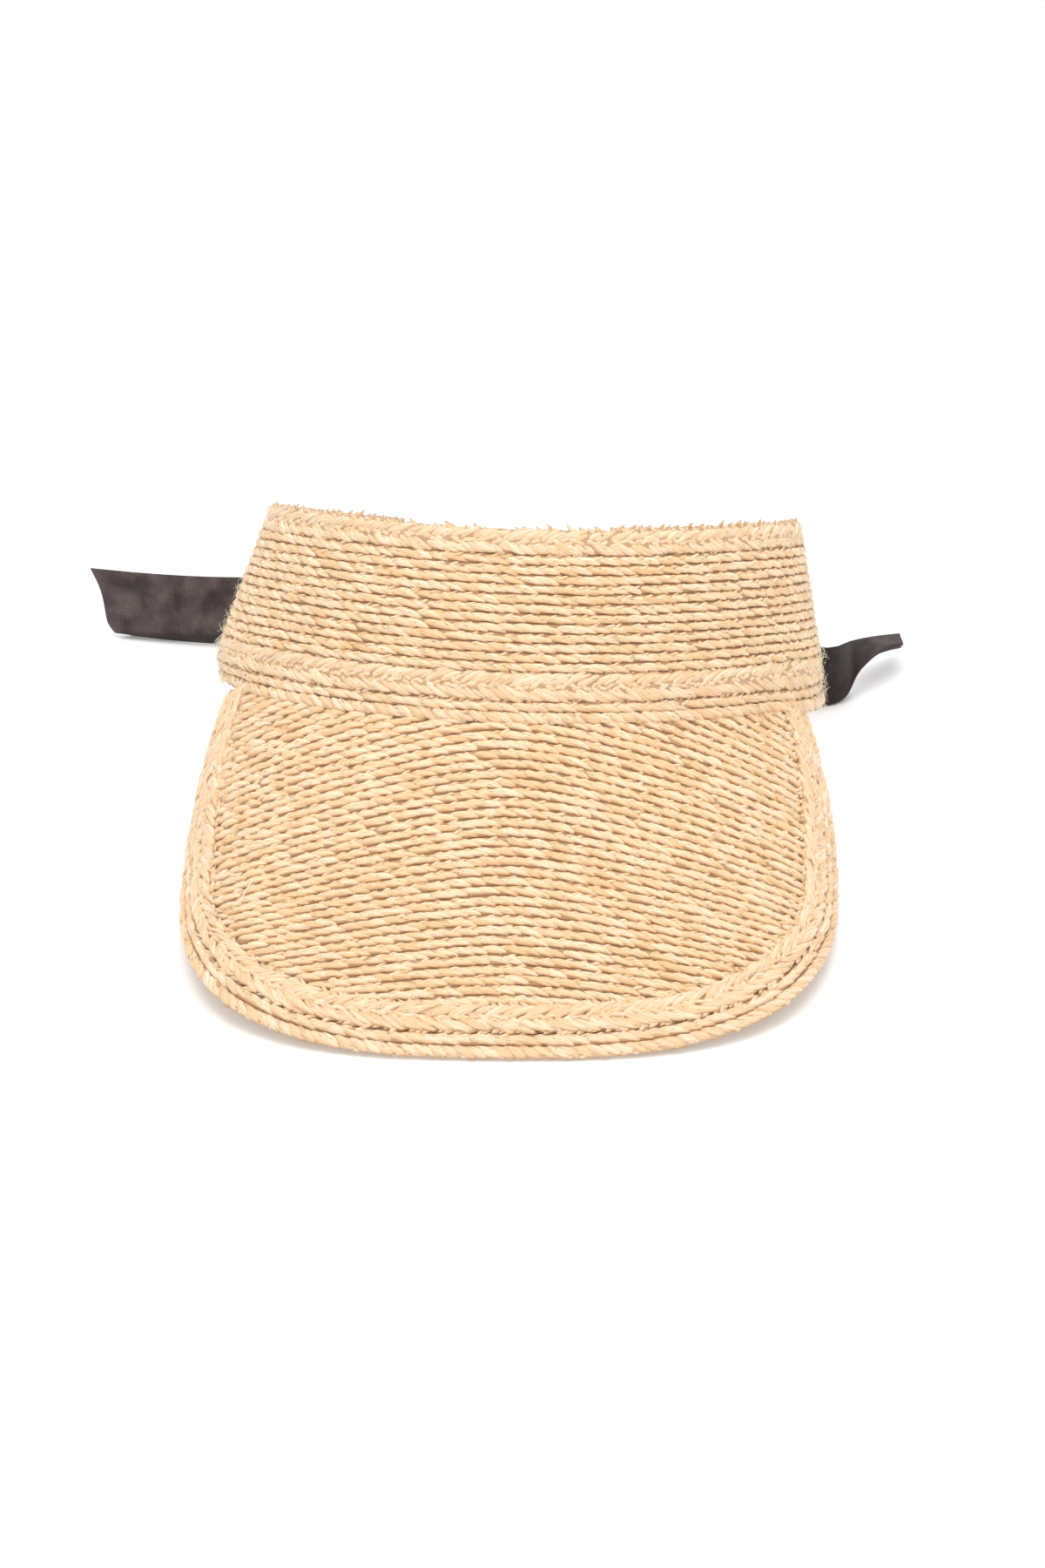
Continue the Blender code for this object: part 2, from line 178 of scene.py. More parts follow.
def droop_rate(x):
    inside = np.clip(x, -DROOP_LIMIT, DROOP_LIMIT)
    along, height = seam(inside)
    rate = height / (along + BRIM_ROOT)
    back = inside - np.sign(inside) * DROOP_STEP
    along, height = seam(back)
    step = np.where(inside == back, 1.0, inside - back)
    return rate + (rate - height / (along + BRIM_ROOT)) / step * (x - inside)


def brim_raw(x, along, drop=0.0):
    """The brim's upper face: x across, and the distance from the front edge."""
    slope = FRONT_SLOPE + BEND_RATE * along
    reach = 1.0 / BEND_RATE - droop_rate(x) * (along + BRIM_ROOT) + drop
    return stack(x, BEND_Y + reach * np.sin(slope), BEND_Z - reach * np.cos(slope))


EAR_TUCK = 0.0085               # the border runs on this far under the band


def outline():
    """The brim's whole outline, left ear to right ear: x, along and arc length."""
    angle = np.linspace(0.0, pi / 2, 401)
    x = BRIM_HALF_WIDTH * np.sin(angle) ** (2 / ROUND_POWER_X)
    along = ROUND_LENGTH * (1.0 - np.abs(np.cos(angle)) ** (2 / ROUND_POWER_S))
    t = np.linspace(0.0, 1.0 + EAR_TUCK / (EAR_ALONG - ROUND_LENGTH), 121)[1:]
    x = np.concatenate([x, BRIM_HALF_WIDTH - (BRIM_HALF_WIDTH - EAR_HALF_WIDTH) * t * t])
    along = np.concatenate([along, ROUND_LENGTH + (EAR_ALONG - ROUND_LENGTH) * t])
    x = np.concatenate([-x[:0:-1], x])
    along = np.concatenate([along[:0:-1], along])
    length = np.concatenate([[0.0], np.cumsum(np.hypot(np.diff(x), np.diff(along)))])
    return x, along, length


OUTLINE_X, OUTLINE_ALONG, OUTLINE_LENGTH = outline()
NORMAL_SPAN = 0.004             # the outline's direction is taken over this length


def border_raw(share_along, share):
    """The border: share of its length, left ear to right, and share of its width."""
    place = share_along * OUTLINE_LENGTH[-1]
    x = np.interp(place, OUTLINE_LENGTH, OUTLINE_X)
    along = np.interp(place, OUTLINE_LENGTH, OUTLINE_ALONG)
    ahead = np.minimum(place + NORMAL_SPAN, OUTLINE_LENGTH[-1])
    behind = np.maximum(place - NORMAL_SPAN, 0.0)
    run_x = np.interp(ahead, OUTLINE_LENGTH, OUTLINE_X) - np.interp(behind, OUTLINE_LENGTH, OUTLINE_X)
    run_a = (np.interp(ahead, OUTLINE_LENGTH, OUTLINE_ALONG)
             - np.interp(behind, OUTLINE_LENGTH, OUTLINE_ALONG))
    run = np.hypot(run_x, run_a)
    to_side = smooth_step(along, *BORDER_NARROWS)
    to_ear = smooth_step(along, EAR_STARTS, EAR_ALONG)
    width = (BORDER_FRONT + (BORDER_SIDE - BORDER_FRONT) * to_side
             + (BORDER_EAR - BORDER_SIDE) * to_ear)
    curl = (FLAT_CURL + CURL_SIDE * smooth_step(along, CURL_START, CURL_FULL)
            + (CURL_EAR - CURL_SIDE) * to_ear)
    radius = width / np.sin(curl)
    offset = width - radius * np.sin(curl * share)
    drop = radius * (1.0 - np.cos(curl * share))
    return brim_raw(x - run_a / run * offset, along + run_x / run * offset, drop)


def inner_edge():
    """The border's inner edge, right half: along, x."""
    place = np.linspace(0.5, 1.0, 300)
    point = border_raw(place, 0.0)
    slope = np.arctan2(point[:, 1] - BEND_Y, BEND_Z - point[:, 2])
    return (slope - FRONT_SLOPE) / BEND_RATE, point[:, 0]


INNER_ALONG, INNER_X = inner_edge()


def half_width_inside(along):
    return float(np.interp(along, INNER_ALONG, INNER_X))


def row_along(x, along):
    """Distance from the front edge, at x, of a row's line that crosses x = 0 at along."""
    bow = ROW_BOW[0] + (ROW_BOW[1] - ROW_BOW[0]) * smooth_step(along, *ROW_BOW_GROWS)
    return along - bow * (np.hypot(x, ROW_BOW_ROUND) - ROW_BOW_ROUND)


def crossing(inside, high):
    """The x up to which inside(x) holds, by bisection."""
    low = 0.0
    for _ in range(30):
        middle = (low + high) / 2
        if inside(middle):
            low = middle
        else:
            high = middle
    return high


def row_reach(along):
    return crossing(lambda x: x < half_width_inside(row_along(x, along)), BRIM_HALF_WIDTH)


def seam_x(along, side):
    return crossing(lambda x: seam(side * x)[0] < row_along(x, along), DROOP_LIMIT)


class Strip:
    """A strip of surface: point(u, v), u along and v across, both 0 to 1.

    v = 0 is its lower or front edge.  A lobe's place is given in metres along,
    metres across from the middle line, and metres out of the surface."""

    def __init__(self, point, width):
        self.point = point
        self.width = width
        u = np.linspace(0.0, 1.0, 500)
        middle = point(u, np.full_like(u, 0.5))
        steps = np.linalg.norm(np.diff(middle, axis=0), axis=1)
        self.table = np.concatenate([[0.0], np.cumsum(steps)])
        self.grid = u
        self.length = self.table[-1]

    def place(self, along, across, out):
        u = np.interp(along, self.table, self.grid)
        beyond = along - np.clip(along, 0.0, self.length)
        v = 0.5 + across / self.width
        step_u = 0.002
        step_v = 0.05
        inner = np.clip(u, step_u, 1.0 - step_u)
        tangent = self.point(inner + step_u, v) - self.point(inner - step_u, v)
        tangent /= np.linalg.norm(tangent, axis=-1, keepdims=True)
        rise = self.point(u, v + step_v) - self.point(u, v - step_v)
        normal = np.cross(tangent, rise)
        normal /= np.linalg.norm(normal, axis=-1, keepdims=True)
        return self.point(u, v) + tangent * beyond[..., None] + normal * out[..., None] + BASE


BAND_BULGE = 0.0016             # the worn band bulges at its two sides
LEFT_TUCK = 0.0034              # its left side turns in at the lower edge
RIGHT_SAG = 0.0022              # its right side hangs lower


def band_look(theta, height):
    """The band's outer wall as worn into shape by hand."""
    side = smooth_step(np.abs(np.sin(theta)), 0.78, 0.98)
    left = side * (np.sin(theta) < 0)
    right = side - left
    inset = (LEFT_TUCK * left * np.clip(1.0 - height / 0.009, 0.0, 1.0) ** 2
             - BAND_BULGE * side * smooth_step(height, 0.002, 0.012))
    return band_raw(theta, height - RIGHT_SAG * right * np.clip(1.0 - height / 0.020, 0.0, 1.0) ** 2,
                    inset)


def band_strip(low, high):
    """A ring strip; u runs from the left back end round the front to the right."""
    def point(u, v):
        return band_look(END_LEFT + (END_RIGHT - END_LEFT) * u, low + (high - low) * v)
    return Strip(point, high - low)


def row_strip(near, left, right):
    def point(u, v):
        x = left + (right - left) * u
        return brim_raw(x, row_along(x, near + ROW_PITCH * v))
    return Strip(point, ROW_PITCH)


def border_strip(inner, outer, width):
    def point(u, v):
        return border_raw(u, outer + (inner - outer) * v)
    return Strip(point, width)


# -------------------------------------------------------------------- lobes

class Mesh:
    """Collects vertices, faces and the fibre coordinates of one piece."""

    def __init__(self):
        self.points = []
        self.faces = []
        self.fibre = []
        self.shade = []
        self.count = 0

    def add(self, points, faces, fibre, shade):
        self.points.append(points.reshape(-1, 3))
        self.faces += [[i + self.count for i in face] for face in faces]
        self.fibre.append(fibre.reshape(-1, 3))
        self.shade.append(shade.reshape(-1))
        self.count += len(self.points[-1])

    def object(self, name, material):
        mesh = bpy.data.meshes.new(name)
        points = np.concatenate(self.points)
        mesh.from_pydata(points.tolist(), [], self.faces)
        mesh.materials.append(material)
        fibre = mesh.attributes.new("fibre", "FLOAT_VECTOR", "POINT")
        fibre.data.foreach_set("vector", np.concatenate(self.fibre).astype(np.float32).ravel())
        shade = mesh.attributes.new("shade", "FLOAT", "POINT")
        shade.data.foreach_set("value", np.concatenate(self.shade).astype(np.float32))
        mesh.shade_smooth()
        obj = bpy.data.objects.new(name, mesh)
        bpy.context.scene.collection.objects.link(obj)
        return obj


LOBE_PITCH = 0.0044
# TIP_SHADE and SIDE_SHADE are painted shade: on a lobe's tips, where they pass under others, and on its
# sides, between lobes
TIP_SHADE = 0.32                # how much darker a lobe's tips are
SIDE_SHADE = 0.50               # how much darker its two sides are


def lobe_faces(count, rings, sides):
    """Faces of closed lobes: rings of points between two tips."""
    faces = []
    size = rings * sides + 2
    for lobe in range(count):
        base = lobe * size
        for j in range(rings - 1):
            a = base + j * sides
            for k in range(sides):
                n = (k + 1) % sides
                faces.append((a + k, a + n, a + sides + n, a + sides + k))
        first = base + rings * sides
        last = base + (rings - 1) * sides
        for k in range(sides):
            n = (k + 1) % sides
            faces.append((first, base + n, base + k))
            faces.append((first + 1, last + k, last + n))
    return faces


def add_lobes(mesh, strip, along, across, out, tilt, length, width, thick,
              arch=0.0, bow=0.0, rings=7, sides=8, fullness=0.55, tint=0.0, groove_shade=0.0):
    """Lobes centred at (along, across, out), turned by tilt in the strip's plane.

    arch is how far the tips dive below the middle, bow how far they bend aside, and groove_shade how much
    painted shade darkens the lobes near the strip's rims."""
    count = len(along)
    each = [np.broadcast_to(np.asarray(value, float), (count,)).reshape(count, 1, 1)
            for value in (along, across, out, tilt, length, width, thick, arch, bow)]
    along, across, out, tilt, length, width, thick, arch, bow = each
    t = np.linspace(-1.0, 1.0, rings + 2)[1:-1]
    t = np.sign(t) * np.abs(t) ** 0.85
    angle = 2 * pi * np.arange(sides) / sides
    profile = np.cos(t * pi / 2) ** fullness
    t = t.reshape(1, rings, 1)
    profile = profile.reshape(1, rings, 1)
    wide = width / 2 * profile * np.cos(angle).reshape(1, 1, sides)
    high = thick / 2 * profile * np.sin(angle).reshape(1, 1, sides)
    run = t * length / 2 + 0 * wide
    tip = np.array([-1.0, 1.0]).reshape(1, 2, 1)
    run = np.concatenate([run.reshape(count, -1), (tip * length / 2).reshape(count, -1)], 1)
    wide = np.concatenate([wide.reshape(count, -1), np.zeros((count, 2))], 1)
    high = np.concatenate([high.reshape(count, -1), np.zeros((count, 2))], 1)

    def flat(value):
        return value.reshape(count, 1)

    share = run / (flat(length) / 2)
    aside = wide + flat(bow) * share ** 2 * flat(length) / 2
    c = np.cos(flat(tilt))
    s = np.sin(flat(tilt))
    sideways = flat(across) + run * s + aside * c
    place = strip.place(np.clip(flat(along) + run * c - aside * s, 0.0, strip.length), sideways,
                        flat(out) + high - flat(arch) * share ** 2)
    seed = rng.uniform(0.0, 1.0, (count, 1))
    fibre = stack(run + 0.03 * seed, wide + 0.01 * seed + 0.3 * high, seed + 0 * run)
    beside = np.broadcast_to(np.abs(np.cos(angle)) ** 5, (count, rings, sides)).reshape(count, -1)
    beside = np.concatenate([beside, np.ones((count, 2))], 1)
    # painted shade: darker tips and sides, and darker near the strip's rims, in the grooves between strips
    near_rim = smooth_step(np.abs(sideways) / strip.width, 0.36, 0.53)
    shade = np.clip(TIP_SHADE * np.abs(share) ** 6 + SIDE_SHADE * beside + tint
                    + groove_shade * near_rim, 0.0, 1.0)
    mesh.add(place, lobe_faces(count, rings, sides), fibre, shade)


def spread(length, pitch, start=0.0, uneven=0.10):
    """Evenly pitched places with a little play."""
    count = max(int(round(length / pitch)), 1)
    places = start + (np.arange(count) + 0.5) * length / count
    return places + rng.normal(0.0, uneven * pitch, count)


def jitter(count, size):
    return rng.normal(0.0, size, count)


def wander(along, wave, size):
    """A slow sideways drift of a hand-sewn row."""
    phase = rng.uniform(0, 2 * pi, 3)
    return size * (np.sin(along / wave * 2 * pi + phase[0]) * 0.6
                   + np.sin(along / wave * 4.7 * pi + phase[1]) * 0.4)


def end_sink(strip, along, depth):
    """How far the strip dives at its two ends, to pass under its neighbours."""
    near_end = np.minimum(along, strip.length - along)
    return -depth * (1.0 - smooth_step(near_end, 0.0, 0.005))


def tube_faces(rings, sides):
    """Faces of a closed tube: rings of points, one after the other."""
    faces = []
    for a in range(0, (rings - 1) * sides, sides):
        for k in range(sides):
            n = (k + 1) % sides
            faces.append((a + k, a + n, a + sides + n, a + sides + k))
    faces.append(tuple(reversed(range(sides))))
    faces.append(tuple(range((rings - 1) * sides, rings * sides)))
    return faces


def add_fibre(mesh, path, thin, sides, seed):
    """One loose fibre along a path; thin is its radius at each point."""
    direction = np.gradient(path, axis=0)
    direction /= np.linalg.norm(direction, axis=1, keepdims=True)
    side = np.cross(direction, [0.3, 0.5, 0.81])
    side /= np.linalg.norm(side, axis=1, keepdims=True)
    up = np.cross(direction, side)
    angle = (2 * pi * np.arange(sides) / sides).reshape(1, -1, 1)
    points = path[:, None] + thin.reshape(-1, 1, 1) * (np.cos(angle) * side[:, None]
                                                       + np.sin(angle) * up[:, None])
    count = len(path) * sides
    mesh.add(points, tube_faces(len(path), sides), np.tile(seed, (count, 1)), np.full(count, PALE))


def add_core(mesh, strip, thick, width_share=0.9, shade=0.95, depth=0.0, sides=8, step=0.004):
    """The strip's plain inside, so that no light comes through between lobes."""
    count = max(int(strip.length / step), 6)
    along = np.linspace(0.0004, strip.length - 0.0004, count).reshape(-1, 1)
    angle = 2 * pi * np.arange(sides).reshape(1, -1) / sides
    half = strip.width / 2 * width_share
    across = half * np.cos(angle)
    high = thick / 2 * np.sin(angle)
    middle = -WALL / 2 + end_sink(strip, along, depth)
    points = strip.place(along + 0 * across, across + 0 * along, middle + high + 0 * along)
    fibre = stack(along + 0 * across, across + 0 * along, 0.5 + 0 * (along + across))
    # painted shade: the whole core is darkened, as the shade seen between lobes
    mesh.add(points, tube_faces(count, sides), fibre, np.full(count * sides, shade))


def add_plait(mesh, strip, slant=-1.0, depth=0.0):
    """A narrow sewn plait: long slanting lobes, and small ones crossing above them."""
    pitch = LOBE_PITCH
    width = strip.width
    tone = rng.normal(0.0, 0.04)
    along = spread(strip.length, pitch, uneven=0.16)
    n = len(along)
    drift = wander(along, 0.055, 0.00022)
    tilt = slant * (0.165 + jitter(n, 0.05))
    size = width * (0.79 + jitter(n, 0.06))
    sink = end_sink(strip, along, depth)
    add_lobes(mesh, strip, along, drift - 0.03 * width + jitter(n, 0.00010),
              sink - WALL * 0.42 + jitter(n, 0.00012), tilt,
              pitch * (2.15 + jitter(n, 0.20)), size, WALL * 0.95,
              arch=0.00050, bow=0.12 * slant, rings=7, sides=8, fullness=0.42, tint=tone, groove_shade=0.55)
    upper = spread(strip.length, pitch, start=pitch * 0.45, uneven=0.20)
    n = len(upper)
    add_lobes(mesh, strip, upper, 0.20 * width + jitter(n, 0.00012),
              end_sink(strip, upper, depth) - WALL * 0.31 + jitter(n, 0.0001),
              -slant * (0.34 + jitter(n, 0.10)), pitch * (1.0 + jitter(n, 0.12)), width * 0.38,
              WALL * 0.68, arch=0.0008, rings=4, sides=6, tint=tone, groove_shade=0.55)
    back = spread(strip.length, pitch, start=pitch * 0.2)
    n = len(back)
    add_lobes(mesh, strip, back, jitter(n, 0.00012), end_sink(strip, back, depth) - WALL * 0.66,
              -slant * (0.19 + jitter(n, 0.05)), pitch * 2.2, width * 0.84, WALL * 0.66,
              arch=-0.0003, rings=3, sides=6, tint=tone)
    add_core(mesh, strip, WALL * 0.50, 1.04, depth=depth)


def add_rope(mesh, strip, slant=-1.0, pitch=0.0034, lift=0.0):
    """A two-strand rope: fat lobes that slant more than a plait's."""
    along = spread(strip.length, pitch)
    n = len(along)
    tilt = slant * (0.42 + jitter(n, 0.05))
    width = strip.width
    add_lobes(mesh, strip, along, wander(along, 0.06, 0.00012), -WALL * 0.42 + lift + jitter(n, 0.0001),
              tilt, pitch * (2.1 + jitter(n, 0.1)), width * 0.74, WALL * 0.98,
              arch=0.0005, rings=7, sides=8, fullness=0.45, groove_shade=0.55)
    back = spread(strip.length, pitch, start=pitch * 0.5)
    n = len(back)
    add_lobes(mesh, strip, back, jitter(n, 0.0001), -WALL * 0.60 + lift, -slant * (0.42 + jitter(n, 0.05)),
              pitch * 2.1, width * 0.74, WALL * 0.72, arch=-0.0004, rings=4, sides=6)
    add_core(mesh, strip, WALL * 0.72, 0.92, shade=0.60)


def add_braid(mesh, strip, pitch=0.0021, lift=0.0):
    """A wide flat braid: slanting strands in both halves meet along its middle."""
    width = strip.width
    for face in (1, -1):
        outer = face > 0
        depth = (-WALL * 0.34 if outer else -WALL * 0.70) + lift
        for side in (1, -1):
            along = spread(strip.length, pitch, start=pitch * (0.25 if side > 0 else 0.75),
                           uneven=0.24)
            n = len(along)
            tilt = side * face * (0.44 + jitter(n, 0.10))
            across = side * (0.265 * width + jitter(n, 0.0002))
            add_lobes(mesh, strip, along, across, depth + jitter(n, 0.00016), tilt,
                      width * 1.22 * (1 + jitter(n, 0.10)), pitch * 0.98 * (1 + jitter(n, 0.12)),
                      WALL * 0.62, arch=0.00065 * face, bow=-0.18 * side * face,
                      rings=6 if outer else 4, sides=8 if outer else 6, fullness=0.5,
                      tint=jitter(n, 0.05).reshape(-1, 1), groove_shade=0.35 if outer else 0.0)
        along = spread(strip.length, pitch * 0.95, uneven=0.30)
        n = len(along)
        add_lobes(mesh, strip, along, jitter(n, 0.05 * width), depth + 0.00012 * face,
                  rng.choice([-0.30, 0.30], n) + jitter(n, 0.12), pitch * 2.3, pitch * 0.74,
                  WALL * 0.5, arch=0.0007 * face, rings=4 if outer else 3, sides=6,
                  tint=jitter(n, 0.05).reshape(-1, 1))
    add_core(mesh, strip, WALL * 0.66, 1.0, shade=0.85)


PALE = -1.0                     # the shade of loose fibres: bleached, without cracks


def add_whiskers(mesh, strip, count, reach=0.0045, radius=0.00006, spots=None):
    """Loose ends of raffia that stand off the strip."""
    steps = 5
    for _ in range(count):
        low, high = spots[rng.integers(len(spots))] if spots else (0.01, 0.99)
        start = rng.uniform(low, high) * strip.length
        length = reach * rng.uniform(0.4, 1.3)
        heading = rng.uniform(0, 2 * pi)
        lift = rng.uniform(0.15, 0.75)
        curl = rng.normal(0.0, 1.8)
        s = np.linspace(0.0, 1.0, steps)
        turn = heading + curl * s
        along = start + np.cumsum(np.cos(turn)) * length / steps
        across = rng.uniform(-0.4, 0.4) * strip.width + np.cumsum(np.sin(turn)) * length / steps
        out = -0.0004 + lift * length * s * (1.0 - 0.35 * s)
        limit = strip.width * 1.6
        across = np.clip(across, -limit, limit)
        centre = strip.place(along, across, out)
        add_fibre(mesh, centre, radius * (1.0 - 0.7 * s), 3, [start, 0.0, 0.9])


# ---------------------------------------------------------------- materials

def nodes_of(name):
    material = bpy.data.materials.new(name)
    material.use_nodes = True
    tree = material.node_tree
    return material, tree, tree.nodes["Principled BSDF"]


class Look:
    """A material under construction, with short ways to add nodes."""

    def __init__(self, name):
        self.material, self.tree, self.shader = nodes_of(name)

    def fill(self, node, sockets):
        """Each socket gets a number, a colour or another node's output."""
        for key, value in sockets.items():
            if isinstance(value, bpy.types.NodeSocket):
                self.tree.links.new(value, node.inputs[key])
            else:
                node.inputs[key].default_value = value

    def node(self, kind, sockets, **settings):
        node = self.tree.nodes.new(kind)
        for key, value in settings.items():
            setattr(node, key, value)
        self.fill(node, sockets)
        return node

    def attribute(self, name, output):
        return self.node("ShaderNodeAttribute", {}, attribute_name=name).outputs[output]

    def noise(self, vector, scale, detail, roughness=0.5):
        return self.node("ShaderNodeTexNoise", {"Vector": vector, "Scale": scale, "Detail": detail,
                                                "Roughness": roughness}).outputs["Fac"]

    def weighted(self, value, weight, base):
        return self.node("ShaderNodeMath", {0: value, 1: weight, 2: base},
                         operation="MULTIPLY_ADD").outputs[0]

    def mapped(self, value, start, end, low=0.0, high=1.0):
        return self.node("ShaderNodeMapRange", {"Value": value, "From Min": start, "From Max": end,
                                                "To Min": low, "To Max": high}).outputs[0]

    def mixed(self, factor, a, b):
        return self.node("ShaderNodeMix", {"Factor": factor, "A": a, "B": b},
                         data_type="RGBA").outputs["Result"]

    def ramp(self, value, first, last, *between):
        """A colour ramp through (position, colour) stops."""
        node = self.node("ShaderNodeValToRGB", {"Fac": value})
        elements = node.color_ramp.elements
        for element, (position, colour) in zip(elements, (first, last)):
            element.position = position
            element.color = colour
        for position, colour in between:
            elements.new(position).color = colour
        return node.outputs["Color"]

    def bump(self, height, strength, distance):
        return self.node("ShaderNodeBump", {"Height": height, "Strength": strength,
                                            "Distance": distance}).outputs[0]


def make_raffia(name, body, light, warm, dark):
    """Straw strands: fine streaks along each strand, cracks, and painted brown shade from the shade
    attribute in the gaps between strands.
    """
    look = Look(name)
    fibre = look.attribute("fibre", "Vector")
    shade = look.attribute("shade", "Fac")
    strand = look.node("ShaderNodeSeparateXYZ", {0: fibre}).outputs["Z"]

    def streaks(along, across, detail):
        stretched = look.node("ShaderNodeVectorMath", {0: fibre, 1: (along, across, 7.0)},
                              operation="MULTIPLY")
        return look.noise(stretched.outputs[0], 1.0, detail, roughness=0.6)

    fine = streaks(240.0, 3400.0, 4.0)
    broad = streaks(90.0, 1100.0, 2.0)
    tone = look.weighted(fine, 0.45, look.weighted(strand, 0.12, look.weighted(broad, 0.35, 0.04)))
    straw = look.ramp(tone, (0.37, (*warm, 1)), (0.62, (*light, 1)), (0.50, (*body, 1)))
    # painted shade: the shade attribute browns lobe tips, sides, grooves and cores
    gap = look.mapped(shade, 0.30, 1.15, high=0.85)
    crack = look.mapped(streaks(330.0, 2600.0, 2.0), 0.400, 0.320, high=0.78)
    loose = look.mapped(shade, -0.3, -0.9)
    colour = look.mixed(crack, look.mixed(gap, straw, (*dark, 1)), (*dark, 1))
    look.fill(look.shader, {"Base Color": look.mixed(loose, colour, (0.95, 0.87, 0.74, 1)),
                            "Normal": look.bump(fine, 0.55, 0.00022),
                            "Roughness": look.mapped(broad, 0.0, 1.0, 0.42, 0.68),
                            "Specular IOR Level": 0.42,
                            "Sheen Weight": 0.20})
    return look.material


def make_ribbon(name):
    """Matte woven ribbon: fine ribs across, weave along, pale lint, and painted shade from the shade
    attribute.
    """
    look = Look(name)
    fibre = look.attribute("fibre", "Vector")

    def wave(axis, scale):
        return look.node("ShaderNodeTexWave", {"Vector": fibre, "Scale": scale, "Distortion": 0.6,
                                               "Detail": 1.0}, bands_direction=axis).outputs["Fac"]

    weave = look.node("ShaderNodeMath", {0: wave("X", 420.0), 1: wave("Y", 520.0)},
                      operation="MULTIPLY").outputs[0]
    tone = look.weighted(weave, 0.26, look.noise(fibre, 130.0, 4.0))
    cloth = look.ramp(tone, (0.36, (0.036, 0.026, 0.025, 1)), (1.0, (0.178, 0.135, 0.131, 1)))
    # painted shade: the shade attribute darkens the cloth towards near black
    painted_shade = look.mixed(look.attribute("shade", "Fac"), cloth, (0.012, 0.008, 0.006, 1))
    spots = look.node("ShaderNodeTexVoronoi", {"Vector": fibre, "Scale": 430.0}).outputs["Distance"]
    lint = look.mapped(spots, 0.10, 0.06, high=0.35)
    look.fill(look.shader, {"Base Color": look.mixed(lint, painted_shade, (0.34, 0.32, 0.31, 1)),
                            "Normal": look.bump(weave, 0.5, 0.00012),
                            "Roughness": 0.85,
                            "Sheen Weight": 0.08,
                            "Sheen Roughness": 0.5,
                            "Specular IOR Level": 0.2})
    return look.material


BRAID_STRAW = make_raffia("raffia_braid", body=(0.84, 0.595, 0.345), light=(0.94, 0.77, 0.57),
                          warm=(0.73, 0.420, 0.170), dark=(0.29, 0.115, 0.028))
TRIM_STRAW = make_raffia("raffia_trim", body=(0.82, 0.585, 0.355), light=(0.91, 0.745, 0.55),
                         warm=(0.75, 0.46, 0.22), dark=(0.32, 0.14, 0.045))
RIBBON = make_ribbon("ribbon")


def finish_piece(mesh, node, material, body="visor"):
    piece = mesh.object(f"{node}_look", material)
    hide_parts(node)
    if body:
        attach(piece, body)
    return piece


# ---------------------------------------------------------------- the camera

CAMERA_ELEVATION = radians(25.93)
CAMERA_TURN = radians(-2.268)
CAMERA_ROLL = radians(-0.895)
CAMERA_DISTANCE = 1.0684
CAMERA_TARGET = (0.0, -0.060, 0.0521)


def make_camera():
    """The photograph's viewing angle: its lens, height, turn and slight roll."""
    elevation, turn, roll = CAMERA_ELEVATION, CAMERA_TURN, CAMERA_ROLL
    forward = np.array([sin(turn) * cos(elevation), cos(turn) * cos(elevation), -sin(elevation)])
    level = np.array([cos(turn), -sin(turn), 0.0])
    upward = np.cross(level, forward)
    right = level * cos(roll) + upward * sin(roll)
    up = upward * cos(roll) - level * sin(roll)
    target = np.array(CAMERA_TARGET) + [BASE[0], BASE[1], 0.0]
    place = target - forward * CAMERA_DISTANCE
    camera = bpy.data.objects.new("camera", bpy.data.cameras.new("camera"))
    matrix = Matrix((right.tolist(), up.tolist(), (-forward).tolist())).transposed().to_4x4()
    matrix.translation = Vector(place.tolist())
    camera.matrix_world = matrix
    camera.data.lens = 85
    camera.data.sensor_width = 36
    camera.data.shift_x = 0.0078
    camera.data.shift_y = -0.0404
    bpy.context.scene.collection.objects.link(camera)
    bpy.context.scene.camera = camera


make_camera()


# ------------------------------------------------------------------ the band

def add_strand_work(mesh, strip, kind, rope_lift=0.0, braid_lift=0.0):
    """Fills a strip with a rope, a plait or a wide braid."""
    if kind == "rope":
        add_rope(mesh, strip, pitch=0.0036, lift=rope_lift)
    elif kind == "plait":
        add_plait(mesh, strip)
    else:
        add_braid(mesh, strip, lift=braid_lift)


BAND_SIDES = ((0.13, 0.22), (0.72, 0.80))    # shares of the band's length


def build_band():
    low = 0.0
    for node, height, kind in (("band_edge_rope", EDGE_ROPE, "rope"),
                               ("band_lower_rope", LOWER_ROPE, "plait"),
                               ("band_trim_braid", TRIM_BRAID, "braid")):
        strip = band_strip(low, low + height)
        mesh = Mesh()
        add_strand_work(mesh, strip, kind, rope_lift=0.0004)
        add_whiskers(mesh, strip, 10)
        add_whiskers(mesh, strip, 90, reach=0.0052, radius=0.0001, spots=BAND_SIDES)
        finish_piece(mesh, node, TRIM_STRAW)
        low += height
    for number in range(BAND_COURSES, 0, -1):
        strip = band_strip(low, low + COURSE_PITCH)
        mesh = Mesh()
        add_plait(mesh, strip)
        add_whiskers(mesh, strip, 5)
        add_whiskers(mesh, strip, 26 if number > 3 else 8, reach=0.0048, radius=0.00008,
                     spots=BAND_SIDES)
        finish_piece(mesh, f"band_course_{number:02d}", BRAID_STRAW)
        low += COURSE_PITCH
    strip = band_strip(low, low + TOP_BRAID)
    mesh = Mesh()
    add_braid(mesh, strip, pitch=0.0022)
    add_whiskers(mesh, strip, 22)
    finish_piece(mesh, "band_top_braid", TRIM_STRAW)


# ------------------------------------------------------------------ the brim

ROW_UNDER = 0.0026              # a row's far side runs this much on under the border
ROW_DIVE = 0.0007               # its ends sink this far, to pass under the border
SEAM_TUCK = 0.0024              # a side row starts this far under the band

LOOSE_FIBRE_ROW = 13
LOOSE_FIBRE = ((-0.0765, 0.0503), (-0.0742, 0.0520), (-0.0722, 0.0548), (-0.0708, 0.0572))
LOOSE_FIBRE_LIFT = (0.0, 0.0004, 0.0012, 0.0014)
LOOSE_FIBRE_RADIUS = 0.00016


